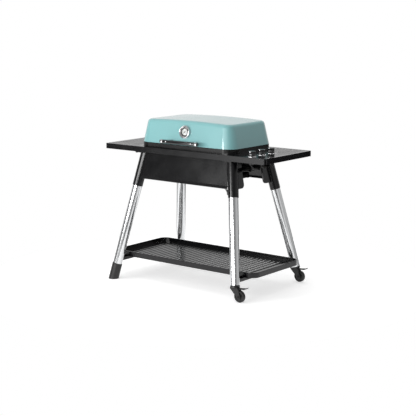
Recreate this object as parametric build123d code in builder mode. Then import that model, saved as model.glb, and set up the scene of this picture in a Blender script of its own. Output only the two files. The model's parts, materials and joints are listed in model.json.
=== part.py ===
from build123d import *
import math
import os

# Three-burner gas barbecue on a four-legged stand, in millimetres.
# The origin is on the floor under the middle of the stand. X runs to the cook's right,
# Y to the back and Z up.

os.makedirs("parts", exist_ok=True)

LEFT, RIGHT = -1, 1
FRONT, REAR = -1, 1
SIDE_NAMES = {LEFT: "left", RIGHT: "right"}
DEPTH_NAMES = {FRONT: "front", REAR: "rear"}

# Table frame
TABLE_HALF_LENGTH = 660.0
TABLE_HALF_DEPTH = 260.5
TABLE_TOP = 904.4
RAIL_HEIGHT = 36.0
RAIL_BOTTOM = TABLE_TOP - RAIL_HEIGHT
RAIL_DEPTH = 16.5
RAIL_WALL = 2.5
RAIL_CORNER = 6.0
SEAM = 3.5

# Side tables
SIDE_TABLE_INNER_X = 310.0
SIDE_TABLE_WALL = 4.0
SIDE_TABLE_CORNER = 9.0
END_RAIL_WIDTH = 24.0
RIM_WIDTH = 9.0
SLAT_FIELD_INNER_X = 402.0
SLAT_PITCH = 25.0
SLAT_COUNT = 9
GROOVE_WIDTH = 6.0
GROOVE_DEPTH = 2.6

# Hood and firebox
RING_HALF_LENGTH = 386.7
RING_HALF_DEPTH = 228.4
RING_CORNER = 77.5
RING_BOTTOM = 896.0
RING_TOP = 934.5
RING_WALL = 4.5
BOWL_HALF_LENGTH = 345.0
BOWL_HALF_DEPTH = 190.0
BOWL_CORNER = 50.0
BOWL_BASE_HALF_LENGTH = 300.0
BOWL_BASE_HALF_DEPTH = 150.0
BOWL_BOTTOM = 760.0
BOWL_WALL = 4.5
BOWL_OUTLET = (340.0, 120.0)
LEDGE_TOP = 908.0

LID_BOTTOM = 935.0
LID_TAPER = 9.3
LID_END_TAPER = 13.7
LID_EDGE_TOP = 1083.0
LID_CROWN = 10.0
LID_EDGE_RADIUS = 26.0
LID_WALL = 3.5

# Thermometer on the hood's front face
GAUGE_HEIGHT = 1021.0
GAUGE_RADIUS = 43.0
GAUGE_DEPTH = 15.0
DIAL_RADIUS = 22.0
GAUGE_STEM_RADIUS = 5.0

# Handle
HANDLE_HALF_LENGTH = 155.0
HANDLE_RADIUS = 12.5
HANDLE_Y = -281.0
HANDLE_Z = 957.0
HANDLE_POST_X = 103.0
HANDLE_POST_RADIUS = 7.0

# Hood hinge
HINGE_Y = 244.0
HINGE_Z = 926.0
HINGE_X = 250.0
HINGE_PIN_RADIUS = 4.0
HINGE_KNUCKLE_RADIUS = 8.0
RUNNING_CLEARANCE = 0.05

# Legs: the axis of a leg passes through these points of the front right quarter
LEG_TOP = (402.3, 231.0, 635.0)
LEG_FOOT = (497.8, 337.3, 104.6)
LEG_SLOPE_X = (LEG_FOOT[0] - LEG_TOP[0]) / (LEG_TOP[2] - LEG_FOOT[2])
LEG_SLOPE_Y = (LEG_FOOT[1] - LEG_TOP[1]) / (LEG_TOP[2] - LEG_FOOT[2])
LEG_STRETCH = math.sqrt(1 + LEG_SLOPE_X ** 2 + LEG_SLOPE_Y ** 2)
LEG_PANEL_STRETCH = math.sqrt(1 + LEG_SLOPE_Y ** 2)
TUBE_RADIUS = 31.0
TUBE_WALL = 2.0
TUBE_SOCKET_DEPTH = 55.0
CASTING_RADIUS = 34.0
CASTING_BORE = 27.0
HEAD_PLATE_THICKNESS = 6.0
WING_THICKNESS = 12.0
WING_INNER_Y = 109.5  # clears the burner tubes, which reach y 108
WING_BOTTOM = 681.0
WING_CORNER = 26.0
BOOT_RADIUS = 33.6
BOOT_TOP = 105.0
TUBE_BOTTOM_IN_BOOT = 14.0

# Front and rear panels
PANEL_INSET = 22.0
PANEL_THICKNESS = 2.5
PANEL_SIDE_GAP = 28.5
PANEL_BOTTOM = 706.0
LIP_BOTTOM = 690.0
LIP_FLARE = 9.0

# Lower shelf
SHELF_HALF_LENGTH = 590.0
SHELF_HALF_DEPTH = 262.0
SHELF_CORNER = 60.0
SHELF_BOTTOM = 143.0
SHELF_TOP = 177.0
SHELF_WALL = 2.0
SHELF_RIM = 8.0
SHELF_FLOOR_TOP = 150.0
SHELF_SLOT_COUNT = 31
SHELF_SLOT_PITCH = 35.0
SHELF_SLOT_WIDTH = 15.0
SHELF_SLOT_LENGTH = 452.0
SHELF_LIP = 5.5
CROSSBAR_HEIGHT = 20.0
CROSSBAR_WIDTH = 50.0

# Casters
CASTER_X = 498.0
CASTER_Y = 337.3
CASTER_TRAIL = 37.0
WHEEL_RADIUS = 38.0
WHEEL_WIDTH = 24.0
AXLE_RADIUS = 4.0
CHEEK_INNER = 13.2
CHEEK_THICKNESS = 3.0
FORK_TOP = 96.5
PLUG_BOTTOM = 97.0
STEM_RADIUS = 6.0
STEM_TOP = 138.0
LEVER_PIVOT = (524.0, 86.0)
LEVER_PIN_RADIUS = 2.5

# Knobs and gas train
KNOB_X = 531.0
KNOB_YS = {"front": -213.0, "middle": -110.0, "rear": -7.0}
KNOB_RADIUS = 23.5
KNOB_BOTTOM = TABLE_TOP + 4.8
KNOB_TOP = TABLE_TOP + 36.5
BEZEL_RADIUS = 27.5
BEZEL_HEIGHT = 4.0
VALVE_STEM_RADIUS = 4.0
VALVE_TOP = 892.0
VALVE_BOTTOM = 870.0
VALVE_SIZE = 24.0
MANIFOLD_Z = 862.0
MANIFOLD_RADIUS = 8.0

# Burners, flame covers and cooking surfaces
BURNER_YS = {"front": -95.0, "middle": 0.0, "rear": 95.0}
BURNER_Z = 800.0
BURNER_RADIUS = 18.0
BURNER_HALF_LENGTH = 280.0
VENTURI_RADIUS = 13.0
VENTURI_END_X = 436.0
COVER_HALF_LENGTH = 300.0
COVER_HALF_WIDTH = 36.0
COVER_BOTTOM = 828.0
COVER_RISE = 26.0
GRATE_WIDTH = 222.0
GRATE_DEPTH = 366.0
GRATE_THICKNESS = 14.0
GRATE_PITCH = 224.0

# Drip tray
TRAY_HALF_LENGTH = 280.0
TRAY_HALF_DEPTH = 100.0
TRAY_BOTTOM = 714.0
TRAY_TOP = 742.0
TRAY_WALL = 1.5
CARRIER_TOP = 760.0


def save(builder, name):
    builder.part.label = name
    export_step(builder.part, f"parts/{name}.step")


def leg_x(z):
    return LEG_TOP[0] + (LEG_TOP[2] - z) * LEG_SLOPE_X


def leg_y(z):
    return LEG_TOP[1] + (LEG_TOP[2] - z) * LEG_SLOPE_Y


def leg_plane(side, depth, z):
    """Plane across a leg, centred on its axis where the axis is at height z."""
    up_the_leg = Vector(-side * LEG_SLOPE_X, -depth * LEG_SLOPE_Y, 1)
    return Plane(origin=(side * leg_x(z), depth * leg_y(z), z), x_dir=(0, 1, 0), z_dir=up_the_leg)


def lid_wall_y(z):
    """Distance of the hood's sloping front or rear face from the middle plane."""
    return RING_HALF_DEPTH - (z - LID_BOTTOM) * math.tan(math.radians(LID_TAPER))


# --- Table frame ---------------------------------------------------------------------

def make_rail(depth):
    """Channel rail along the whole length, with a flange that meets the firebox."""
    rail_y = depth * (TABLE_HALF_DEPTH - RAIL_DEPTH / 2)
    flange_depth = TABLE_HALF_DEPTH - RING_HALF_DEPTH - 2.0
    flange_y = depth * (TABLE_HALF_DEPTH - flange_depth / 2)
    with BuildPart() as rail:
        with BuildSketch(Plane.XY.offset(RAIL_BOTTOM)):
            with Locations((0, rail_y)):
                Rectangle(2 * TABLE_HALF_LENGTH, RAIL_DEPTH)
        extrude(amount=RAIL_HEIGHT)
        fillet(rail.edges().filter_by(Axis.Z), RAIL_CORNER)
        with BuildSketch(Plane.XY.offset(RAIL_BOTTOM + RAIL_WALL)):
            with Locations((0, rail_y - depth * 2 * RAIL_WALL)):
                Rectangle(2 * (TABLE_HALF_LENGTH - RAIL_CORNER - RAIL_WALL), RAIL_DEPTH)
        extrude(amount=RAIL_HEIGHT - 2 * RAIL_WALL, mode=Mode.SUBTRACT)
        with BuildSketch(Plane.XY.offset(TABLE_TOP - RAIL_WALL)):
            with Locations((0, flange_y)):
                Rectangle(2 * (SIDE_TABLE_INNER_X - 1), flange_depth)
        extrude(amount=RAIL_WALL)
    return rail


def make_side_table(side):
    """Moulded side table: end rail, ribbed skirt, grooved top, cut round the firebox ring."""
    half_depth = TABLE_HALF_DEPTH - RAIL_DEPTH - SEAM
    length = TABLE_HALF_LENGTH - SIDE_TABLE_INNER_X
    middle_x = side * (TABLE_HALF_LENGTH + SIDE_TABLE_INNER_X) / 2
    pocket_inner_x = SLAT_FIELD_INNER_X - 3.0
    pocket_outer_x = TABLE_HALF_LENGTH - END_RAIL_WIDTH
    pocket_x = side * (pocket_inner_x + pocket_outer_x) / 2
    field_outer_x = TABLE_HALF_LENGTH - RIM_WIDTH
    field_x = side * (SLAT_FIELD_INNER_X + field_outer_x) / 2
    groove_length = 2 * (half_depth - RIM_WIDTH)
    with BuildPart() as table:
        with BuildSketch(Plane.XY.offset(RAIL_BOTTOM)) as outline:
            with Locations((middle_x, 0)):
                Rectangle(length, 2 * half_depth)
            outer_corners = outline.vertices().group_by(Axis.X)[-1 if side == RIGHT else 0]
            fillet(outer_corners, SIDE_TABLE_CORNER)
            RectangleRounded(2 * RING_HALF_LENGTH + 5, 2 * RING_HALF_DEPTH + 5, RING_CORNER + 2.5,
                             mode=Mode.SUBTRACT)
        extrude(amount=RAIL_HEIGHT)
        with BuildSketch(Plane.XY.offset(RAIL_BOTTOM)):
            with Locations((pocket_x, 0)):
                RectangleRounded(pocket_outer_x - pocket_inner_x, 2 * (half_depth - SIDE_TABLE_WALL), 6)
        extrude(amount=RAIL_HEIGHT - SIDE_TABLE_WALL, mode=Mode.SUBTRACT)
        with BuildSketch(Plane.XY.offset(TABLE_TOP)):
            with Locations((field_x, 0)):
                with GridLocations(SLAT_PITCH, 0, SLAT_COUNT, 1):
                    SlotOverall(groove_length, GROOVE_WIDTH, rotation=90)
            if side == RIGHT:
                with Locations((KNOB_X, (KNOB_YS["front"] + KNOB_YS["rear"]) / 2)):
                    RectangleRounded(76, 274, 12, mode=Mode.SUBTRACT)
        extrude(amount=-GROOVE_DEPTH, mode=Mode.SUBTRACT)
        if side == RIGHT:
            with BuildSketch(Plane.XY.offset(TABLE_TOP)):
                with Locations(*[(KNOB_X, y) for y in KNOB_YS.values()]):
                    Circle(VALVE_STEM_RADIUS + 1.5)
            extrude(amount=-2 * SIDE_TABLE_WALL, mode=Mode.SUBTRACT)
    return table


for depth in (FRONT, REAR):
    save(make_rail(depth), f"{DEPTH_NAMES[depth]}_rail")
for side in (LEFT, RIGHT):
    save(make_side_table(side), f"side_table_{SIDE_NAMES[side]}")


# --- Firebox -------------------------------------------------------------------------

def rounded(half_length, half_depth, corner, inset=0.0, mode=Mode.ADD):
    """Rounded rectangle about the origin, inset all round."""
    RectangleRounded(2 * (half_length - inset), 2 * (half_depth - inset), corner - inset, mode=mode)


with BuildPart() as firebox:
    with BuildSketch(Plane.XY.offset(RING_BOTTOM)):
        rounded(RING_HALF_LENGTH, RING_HALF_DEPTH, RING_CORNER)
    extrude(amount=RING_TOP - RING_BOTTOM)
    fillet(firebox.faces().sort_by(Axis.Z)[-1].edges(), 2.0)
    with BuildSketch(Plane.XY.offset(RING_BOTTOM)):
        rounded(RING_HALF_LENGTH, RING_HALF_DEPTH, RING_CORNER, RING_WALL)
    extrude(amount=RING_TOP - RING_BOTTOM - RING_WALL, mode=Mode.SUBTRACT)
    with BuildSketch(Plane.XY.offset(RING_BOTTOM)):
        rounded(BOWL_HALF_LENGTH, BOWL_HALF_DEPTH, BOWL_CORNER)
    extrude(amount=RING_TOP - RING_BOTTOM - RING_WALL)
    with BuildSketch(Plane.XY.offset(RING_BOTTOM)):
        rounded(BOWL_HALF_LENGTH, BOWL_HALF_DEPTH, BOWL_CORNER)
    with BuildSketch(Plane.XY.offset(BOWL_BOTTOM)):
        rounded(BOWL_BASE_HALF_LENGTH, BOWL_BASE_HALF_DEPTH, BOWL_CORNER)
    loft()
    with BuildSketch(Plane.XY.offset(RING_BOTTOM)):
        rounded(BOWL_HALF_LENGTH, BOWL_HALF_DEPTH, BOWL_CORNER, BOWL_WALL)
    extrude(amount=RING_TOP - RING_BOTTOM, mode=Mode.SUBTRACT)
    with BuildSketch(Plane.XY.offset(RING_BOTTOM)):
        rounded(BOWL_HALF_LENGTH, BOWL_HALF_DEPTH, BOWL_CORNER, BOWL_WALL)
    with BuildSketch(Plane.XY.offset(BOWL_BOTTOM + BOWL_WALL)):
        rounded(BOWL_BASE_HALF_LENGTH, BOWL_BASE_HALF_DEPTH, BOWL_CORNER, BOWL_WALL)
    loft(mode=Mode.SUBTRACT)
    # ledge that carries the cooking surfaces
    with BuildSketch(Plane.XY.offset(LEDGE_TOP - 5)):
        rounded(BOWL_HALF_LENGTH, BOWL_HALF_DEPTH, BOWL_CORNER, BOWL_WALL - 0.5)
        rounded(BOWL_HALF_LENGTH, BOWL_HALF_DEPTH, BOWL_CORNER, BOWL_WALL + 14, mode=Mode.SUBTRACT)
    extrude(amount=5)
    # outlet over the drip tray
    with BuildSketch(Plane.XY.offset(BOWL_BOTTOM)):
        RectangleRounded(*BOWL_OUTLET, 20)
    extrude(amount=2 * BOWL_WALL, mode=Mode.SUBTRACT)
    # holes for the burner tubes in the right wall
    with BuildSketch(Plane.YZ.offset(BOWL_BASE_HALF_LENGTH - 20)):
        with Locations(*[(y, BURNER_Z) for y in BURNER_YS.values()]):
            Circle(VENTURI_RADIUS + 1)
    extrude(amount=80, mode=Mode.SUBTRACT)
save(firebox, "firebox")


# --- Cooking surfaces, burners and flame covers ----------------------------------------

def make_grate(x):
    """Cast grate: a frame with bars that run from front to back."""
    with BuildPart() as grate:
        with BuildSketch(Plane.XY.offset(LEDGE_TOP)):
            with Locations((x, 0)):
                RectangleRounded(GRATE_WIDTH, GRATE_DEPTH, 6)
            rounded(BOWL_HALF_LENGTH, BOWL_HALF_DEPTH, BOWL_CORNER, BOWL_WALL + 2, mode=Mode.INTERSECT)
            with Locations((x, 0)):
                with GridLocations(16, 0, 12, 1):
                    SlotOverall(GRATE_DEPTH - 30, 9, rotation=90, mode=Mode.SUBTRACT)
        extrude(amount=GRATE_THICKNESS)
        with BuildSketch(Plane.XY.offset(LEDGE_TOP)):
            with Locations((x, -60), (x, 60)):
                Rectangle(GRATE_WIDTH - 12, 8)
        extrude(amount=GRATE_THICKNESS - 6)
    return grate


save(make_grate(-GRATE_PITCH), "cooking_grate_left")
save(make_grate(GRATE_PITCH), "cooking_grate_right")

with BuildPart() as hotplate:
    with BuildSketch(Plane.XY.offset(LEDGE_TOP)):
        RectangleRounded(GRATE_WIDTH, GRATE_DEPTH, 6)
    extrude(amount=GRATE_THICKNESS)
    with BuildSketch(Plane.XY.offset(LEDGE_TOP + 8)):
        RectangleRounded(GRATE_WIDTH - 14, GRATE_DEPTH - 14, 4)
    extrude(amount=GRATE_THICKNESS, mode=Mode.SUBTRACT)
save(hotplate, "hotplate")

for burner_name, burner_y in BURNER_YS.items():
    with BuildPart() as burner:
        with BuildSketch(Plane.YZ.offset(-BURNER_HALF_LENGTH)):
            with Locations((burner_y, BURNER_Z)):
                Circle(BURNER_RADIUS)
        extrude(amount=2 * BURNER_HALF_LENGTH)
        with BuildSketch(Plane.YZ.offset(-BURNER_HALF_LENGTH + 2)):
            with Locations((burner_y, BURNER_Z)):
                Circle(BURNER_RADIUS - 1.5)
        extrude(amount=2 * BURNER_HALF_LENGTH - 4, mode=Mode.SUBTRACT)
        # mixing tube through the firebox wall, open at the outer end
        with BuildSketch(Plane.YZ.offset(BURNER_HALF_LENGTH - 2)):
            with Locations((burner_y, BURNER_Z)):
                Circle(VENTURI_RADIUS)
        extrude(amount=VENTURI_END_X - BURNER_HALF_LENGTH + 2)
        with BuildSketch(Plane.YZ.offset(BURNER_HALF_LENGTH - 2)):
            with Locations((burner_y, BURNER_Z)):
                Circle(VENTURI_RADIUS - 1.5)
        extrude(amount=VENTURI_END_X - BURNER_HALF_LENGTH + 2, mode=Mode.SUBTRACT)
        # flame ports along the top
        with BuildSketch(Plane.XY.offset(BURNER_Z)):
            with Locations((0, burner_y)):
                with GridLocations(22, 12, 24, 2):
                    Circle(1.6)
        extrude(amount=BURNER_RADIUS, mode=Mode.SUBTRACT)
    save(burner, f"burner_{burner_name}")

with BuildPart() as flame_covers:
    for cover_y in BURNER_YS.values():
        with BuildSketch(Plane.YZ.offset(-COVER_HALF_LENGTH)):
            with BuildLine():
                Polyline(
                    (cover_y - COVER_HALF_WIDTH, COVER_BOTTOM),
                    (cover_y, COVER_BOTTOM + COVER_RISE),
                    (cover_y + COVER_HALF_WIDTH, COVER_BOTTOM),
                    (cover_y + COVER_HALF_WIDTH - 3, COVER_BOTTOM),
                    (cover_y, COVER_BOTTOM + COVER_RISE - 2.2),
                    (cover_y - COVER_HALF_WIDTH + 3, COVER_BOTTOM),
                    close=True,
                )
            make_face()
        extrude(amount=2 * COVER_HALF_LENGTH)
save(flame_covers, "flame_covers")


# --- Legs ------------------------------------------------------------------------------

def make_panel_plane(depth):
    """Outer face of the front or rear panel; its local Y runs up the slope."""
    outward = Vector(0, depth, LEG_SLOPE_Y)
    return Plane(
        origin=(0, depth * (leg_y(RAIL_BOTTOM) + PANEL_INSET), RAIL_BOTTOM),
        x_dir=(-depth, 0, 0),
        z_dir=outward,
    )


def make_leg_casting(side, depth):
    """Socket for a leg tube, with a head plate under the rail and a gusset wing."""
    head_x = side * (leg_x(RAIL_BOTTOM) + 9)
    head_y = depth * (leg_y(RAIL_BOTTOM) + 23)
    wing_up = Vector(-side * LEG_SLOPE_X, 0, 1).normalized()
    wing_plane = Plane(
        origin=(side * leg_x(RAIL_BOTTOM), 0, RAIL_BOTTOM),
        x_dir=(0, 1, 0),
        z_dir=(wing_up.Z, 0, -wing_up.X),
    )
    wing_drop = -(RAIL_BOTTOM - WING_BOTTOM) / wing_up.Z
    panel_plane = make_panel_plane(depth)
    web_top = -(RAIL_BOTTOM - LIP_BOTTOM + 4.5) * LEG_PANEL_STRETCH
    inward = side * depth
    web_x = -inward * (leg_x(LIP_BOTTOM) - PANEL_SIDE_GAP)
    web_root_x = web_x - inward * 20
    web_tip_x = web_x + inward * 24
    web_bottom = web_top - 34
    with BuildPart() as casting:
        with BuildSketch(leg_plane(side, depth, LEG_TOP[2])):
            Circle(CASTING_RADIUS)
        extrude(amount=(RAIL_BOTTOM - LEG_TOP[2]) * LEG_STRETCH + 30)
        with BuildSketch(wing_plane):
            with BuildLine():
                Polyline(
                    (depth * leg_y(RAIL_BOTTOM), 0),
                    (depth * WING_INNER_Y, 0),
                    (depth * WING_INNER_Y, wing_drop),
                    (depth * leg_y(WING_BOTTOM), wing_drop),
                    close=True,
                )
            make_face()
        extrude(amount=WING_THICKNESS / 2, both=True)
        wing_corner = casting.edges().filter_by(
            lambda e: abs(abs(e.center().Y) - WING_INNER_Y) < 0.01
            and abs(e.center().Z - WING_BOTTOM) < 3
            and e.length < WING_THICKNESS + 1
        )
        fillet(wing_corner, WING_CORNER)
        # curved web that runs out under the panel's lip
        with BuildSketch(panel_plane.offset(-PANEL_THICKNESS)):
            with BuildLine():
                Polyline(
                    (web_x, web_bottom),
                    (web_root_x, web_bottom),
                    (web_root_x, web_top),
                    (web_tip_x, web_top),
                )
                RadiusArc((web_tip_x, web_top), (web_x, web_bottom), -inward * 40)
            make_face()
        extrude(amount=-5)
        split(bisect_by=Plane.XY.offset(RAIL_BOTTOM), keep=Keep.BOTTOM)
        with BuildSketch(Plane.XY.offset(RAIL_BOTTOM)):
            with Locations((head_x, head_y)):
                RectangleRounded(68, 92, 8)
        extrude(amount=-HEAD_PLATE_THICKNESS)
        # the casting is hollow, with a wider bore where the tube sits
        with BuildSketch(leg_plane(side, depth, LEG_TOP[2])):
            Circle(CASTING_BORE)
        extrude(amount=(RAIL_BOTTOM - LEG_TOP[2]) * LEG_STRETCH - 18, mode=Mode.SUBTRACT)
        with BuildSketch(leg_plane(side, depth, LEG_TOP[2])):
            Circle(TUBE_RADIUS + RUNNING_CLEARANCE)
        extrude(amount=TUBE_SOCKET_DEPTH, mode=Mode.SUBTRACT)
    return casting


def make_leg_tube(side, depth, bottom):
    length = (LEG_TOP[2] - bottom) * LEG_STRETCH + TUBE_SOCKET_DEPTH - 0.5
    with BuildPart() as tube:
        with BuildSketch(leg_plane(side, depth, bottom)):
            Circle(TUBE_RADIUS)
            Circle(TUBE_RADIUS - TUBE_WALL, mode=Mode.SUBTRACT)
        extrude(amount=length)
    return tube


def make_foot_boot(depth):
    """Closed sleeve on the end of a left leg, cut flat on the floor."""
    with BuildPart() as boot:
        with BuildSketch(leg_plane(LEFT, depth, BOOT_TOP)):
            Circle(BOOT_RADIUS)
        extrude(amount=-BOOT_TOP * LEG_STRETCH - 30)
        split(bisect_by=Plane.XY, keep=Keep.TOP)
        with BuildSketch(leg_plane(LEFT, depth, TUBE_BOTTOM_IN_BOOT)):
            Circle(TUBE_RADIUS + RUNNING_CLEARANCE)
        extrude(amount=BOOT_TOP * LEG_STRETCH, mode=Mode.SUBTRACT)
    return boot


for side in (LEFT, RIGHT):
    for depth in (FRONT, REAR):
        place = f"{DEPTH_NAMES[depth]}_{SIDE_NAMES[side]}"
        tube_bottom = TUBE_BOTTOM_IN_BOOT if side == LEFT else LEG_FOOT[2]
        save(make_leg_casting(side, depth), f"leg_casting_{place}")
        save(make_leg_tube(side, depth, tube_bottom), f"leg_tube_{place}")

for depth in (FRONT, REAR):
    save(make_foot_boot(depth), f"foot_boot_{DEPTH_NAMES[depth]}")


# --- Panels between the leg castings ----------------------------------------------------

def make_panel(depth):
    """Sheet panel that follows the slope of the legs and ends in a flared lip."""
    top_half = leg_x(RAIL_BOTTOM) - PANEL_SIDE_GAP
    bottom_half = leg_x(PANEL_BOTTOM) - PANEL_SIDE_GAP
    lip_half = leg_x(LIP_BOTTOM) - PANEL_SIDE_GAP
    drop = (RAIL_BOTTOM - PANEL_BOTTOM) * LEG_PANEL_STRETCH
    panel_y = leg_y(PANEL_BOTTOM) + PANEL_INSET
    lip_y = leg_y(LIP_BOTTOM) + PANEL_INSET + LIP_FLARE
    with BuildPart() as panel:
        with BuildSketch(make_panel_plane(depth)):
            with BuildLine():
                Polyline(
                    (-top_half, 0),
                    (top_half, 0),
                    (bottom_half, -drop),
                    (-bottom_half, -drop),
                    close=True,
                )
            make_face()
        extrude(amount=-PANEL_THICKNESS)
        with BuildSketch(Plane.YZ.offset(-lip_half)):
            with BuildLine():
                Polyline(
                    (depth * panel_y, PANEL_BOTTOM),
                    (depth * lip_y, LIP_BOTTOM),
                    (depth * (lip_y - 2), LIP_BOTTOM - 1.5),
                    (depth * (lip_y - 14), LIP_BOTTOM - 1.5),
                    (depth * (lip_y - 14), LIP_BOTTOM + 0.5),
                    (depth * (lip_y - 3.5), LIP_BOTTOM + 0.5),
                    (depth * (panel_y - 3), PANEL_BOTTOM + 0.5),
                    close=True,
                )
            make_face()
        extrude(amount=2 * lip_half)
    return panel


for depth in (FRONT, REAR):
    save(make_panel(depth), f"{DEPTH_NAMES[depth]}_panel")


# --- Lower shelf -------------------------------------------------------------------------

with BuildPart() as lower_shelf:
    with BuildSketch(Plane.XY.offset(SHELF_BOTTOM)):
        rounded(SHELF_HALF_LENGTH, SHELF_HALF_DEPTH, SHELF_CORNER)
    extrude(amount=SHELF_TOP - SHELF_BOTTOM)
    fillet(lower_shelf.faces().sort_by(Axis.Z)[-1].edges(), 3.0)
    with BuildSketch(Plane.XY.offset(SHELF_BOTTOM)):
        rounded(SHELF_HALF_LENGTH, SHELF_HALF_DEPTH, SHELF_CORNER, SHELF_RIM)
    extrude(amount=SHELF_TOP - SHELF_BOTTOM, mode=Mode.SUBTRACT)
    with BuildSketch(Plane.XY.offset(SHELF_BOTTOM)):
        rounded(SHELF_HALF_LENGTH, SHELF_HALF_DEPTH, SHELF_CORNER, SHELF_WALL)
    extrude(amount=SHELF_TOP - SHELF_BOTTOM - 5, mode=Mode.SUBTRACT)
    # slatted floor: a plate with slots, each slot edged by a down-turned lip
    with BuildSketch(Plane.XY.offset(SHELF_FLOOR_TOP)):
        rounded(SHELF_HALF_LENGTH, SHELF_HALF_DEPTH, SHELF_CORNER, SHELF_WALL - 0.5)
    extrude(amount=-1.6)
    with BuildSketch(Plane.XY.offset(SHELF_FLOOR_TOP)):
        with GridLocations(SHELF_SLOT_PITCH, 0, SHELF_SLOT_COUNT, 1):
            SlotOverall(SHELF_SLOT_LENGTH + 3, SHELF_SLOT_WIDTH + 3, rotation=90)
    extrude(amount=-SHELF_LIP)
    with BuildSketch(Plane.XY.offset(SHELF_FLOOR_TOP)):
        with GridLocations(SHELF_SLOT_PITCH, 0, SHELF_SLOT_COUNT, 1):
            SlotOverall(SHELF_SLOT_LENGTH, SHELF_SLOT_WIDTH, rotation=90)
    extrude(amount=-SHELF_LIP, mode=Mode.SUBTRACT)
save(lower_shelf, "lower_shelf")

with BuildPart() as shelf_crossbars:
    bar_top = SHELF_BOTTOM
    bar_middle = bar_top - CROSSBAR_HEIGHT / 2
    for side in (LEFT, RIGHT):
        with BuildSketch(Plane.XY.offset(bar_top)):
            with Locations((side * leg_x(bar_middle), 0)):
                Rectangle(CROSSBAR_WIDTH, 2 * leg_y(bar_middle))
        extrude(amount=-CROSSBAR_HEIGHT)
        with BuildSketch(Plane.XY.offset(bar_top)):
            with Locations((side * leg_x(bar_middle), 0)):
                Rectangle(CROSSBAR_WIDTH - 4, 2 * (leg_y(bar_middle) - TUBE_RADIUS - 8))
        extrude(amount=-CROSSBAR_HEIGHT + 2, mode=Mode.SUBTRACT)
    for side in (LEFT, RIGHT):
        for depth in (FRONT, REAR):
            with BuildSketch(leg_plane(side, depth, bar_middle - 40)):
                Circle(TUBE_RADIUS + RUNNING_CLEARANCE)
            extrude(amount=80, mode=Mode.SUBTRACT)
            with BuildSketch(Plane.XZ.offset(-depth * leg_y(bar_middle))):
                Rectangle(2 * TABLE_HALF_LENGTH, 2 * TABLE_TOP)
            extrude(amount=-depth * 2 * TUBE_RADIUS, mode=Mode.SUBTRACT)
save(shelf_crossbars, "shelf_crossbars")


# --- Casters under the right legs ----------------------------------------------------------

def xz_plane(y):
    """Plane facing the back at depth y: local X runs left to right, local Y up."""
    return Plane(origin=(0, y, 0), x_dir=(1, 0, 0), z_dir=(0, -1, 0))


def make_caster_plug(depth):
    """Plug in the open end of a right leg tube, with an upright bore for the caster stem."""
    with BuildPart() as plug:
        with BuildSketch(leg_plane(RIGHT, depth, LEG_FOOT[2])):
            Circle(TUBE_RADIUS - TUBE_WALL - RUNNING_CLEARANCE)
        extrude(amount=46)
        with BuildSketch(leg_plane(RIGHT, depth, LEG_FOOT[2])):
            Circle(TUBE_RADIUS - 0.5)
        extrude(amount=-20)
        split(bisect_by=Plane.XY.offset(PLUG_BOTTOM), keep=Keep.TOP)
        with BuildSketch(Plane.XY.offset(PLUG_BOTTOM)):
            with Locations((CASTER_X, depth * CASTER_Y)):
                Circle(STEM_RADIUS + RUNNING_CLEARANCE)
        extrude(amount=STEM_TOP + 2 - PLUG_BOTTOM, mode=Mode.SUBTRACT)
    return plug


def make_caster_fork(depth):
    """Hooded fork: swivel disc and stem, two cheeks that slope down to the axle."""
    y = depth * CASTER_Y
    axle = (CASTER_X + CASTER_TRAIL, WHEEL_RADIUS)
    hood_back = CASTER_X - 30
    hood_front = CASTER_X + 34
    outer = CHEEK_INNER + CHEEK_THICKNESS
    with BuildPart() as fork:
        with BuildSketch(xz_plane(y)):
            with BuildLine():
                Polyline(
                    (hood_back, FORK_TOP - 4),
                    (hood_back + 2, FORK_TOP - 12),
                    (axle[0] - 13, axle[1] - 6),
                    (axle[0] + 13, axle[1] - 2),
                    (hood_front, FORK_TOP - 13),
                    (hood_front - 8, FORK_TOP - 4),
                    close=True,
                )
            make_face()
            with Locations(axle):
                Circle(14)
        extrude(amount=outer, both=True)
        with BuildSketch(xz_plane(y)):
            with Locations(axle):
                Circle(WHEEL_RADIUS + 2.5)
            with Locations((axle[0], axle[1] - WHEEL_RADIUS)):
                Rectangle(2 * WHEEL_RADIUS + 5, 2 * WHEEL_RADIUS)
        extrude(amount=CHEEK_INNER, both=True, mode=Mode.SUBTRACT)
        # swivel disc and stem
        with BuildSketch(Plane.XY.offset(FORK_TOP)):
            with Locations((CASTER_X, y)):
                Circle(27)
        extrude(amount=-7)
        with BuildSketch(Plane.XY.offset(FORK_TOP)):
            with Locations((CASTER_X, y)):
                Circle(STEM_RADIUS)
        extrude(amount=STEM_TOP - FORK_TOP)
        # slot over the wheel for the brake lever, and its pin holes
        with BuildSketch(xz_plane(y)):
            with Locations((LEVER_PIVOT[0] + 11, LEVER_PIVOT[1] + 4)):
                Rectangle(37, 21)
        extrude(amount=9.5, both=True, mode=Mode.SUBTRACT)
        with BuildSketch(xz_plane(y)):
            with Locations(LEVER_PIVOT):
                Circle(LEVER_PIN_RADIUS + RUNNING_CLEARANCE)
            with Locations(axle):
                Circle(AXLE_RADIUS + 0.02)
        extrude(amount=outer + 1, both=True, mode=Mode.SUBTRACT)
    return fork


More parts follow.
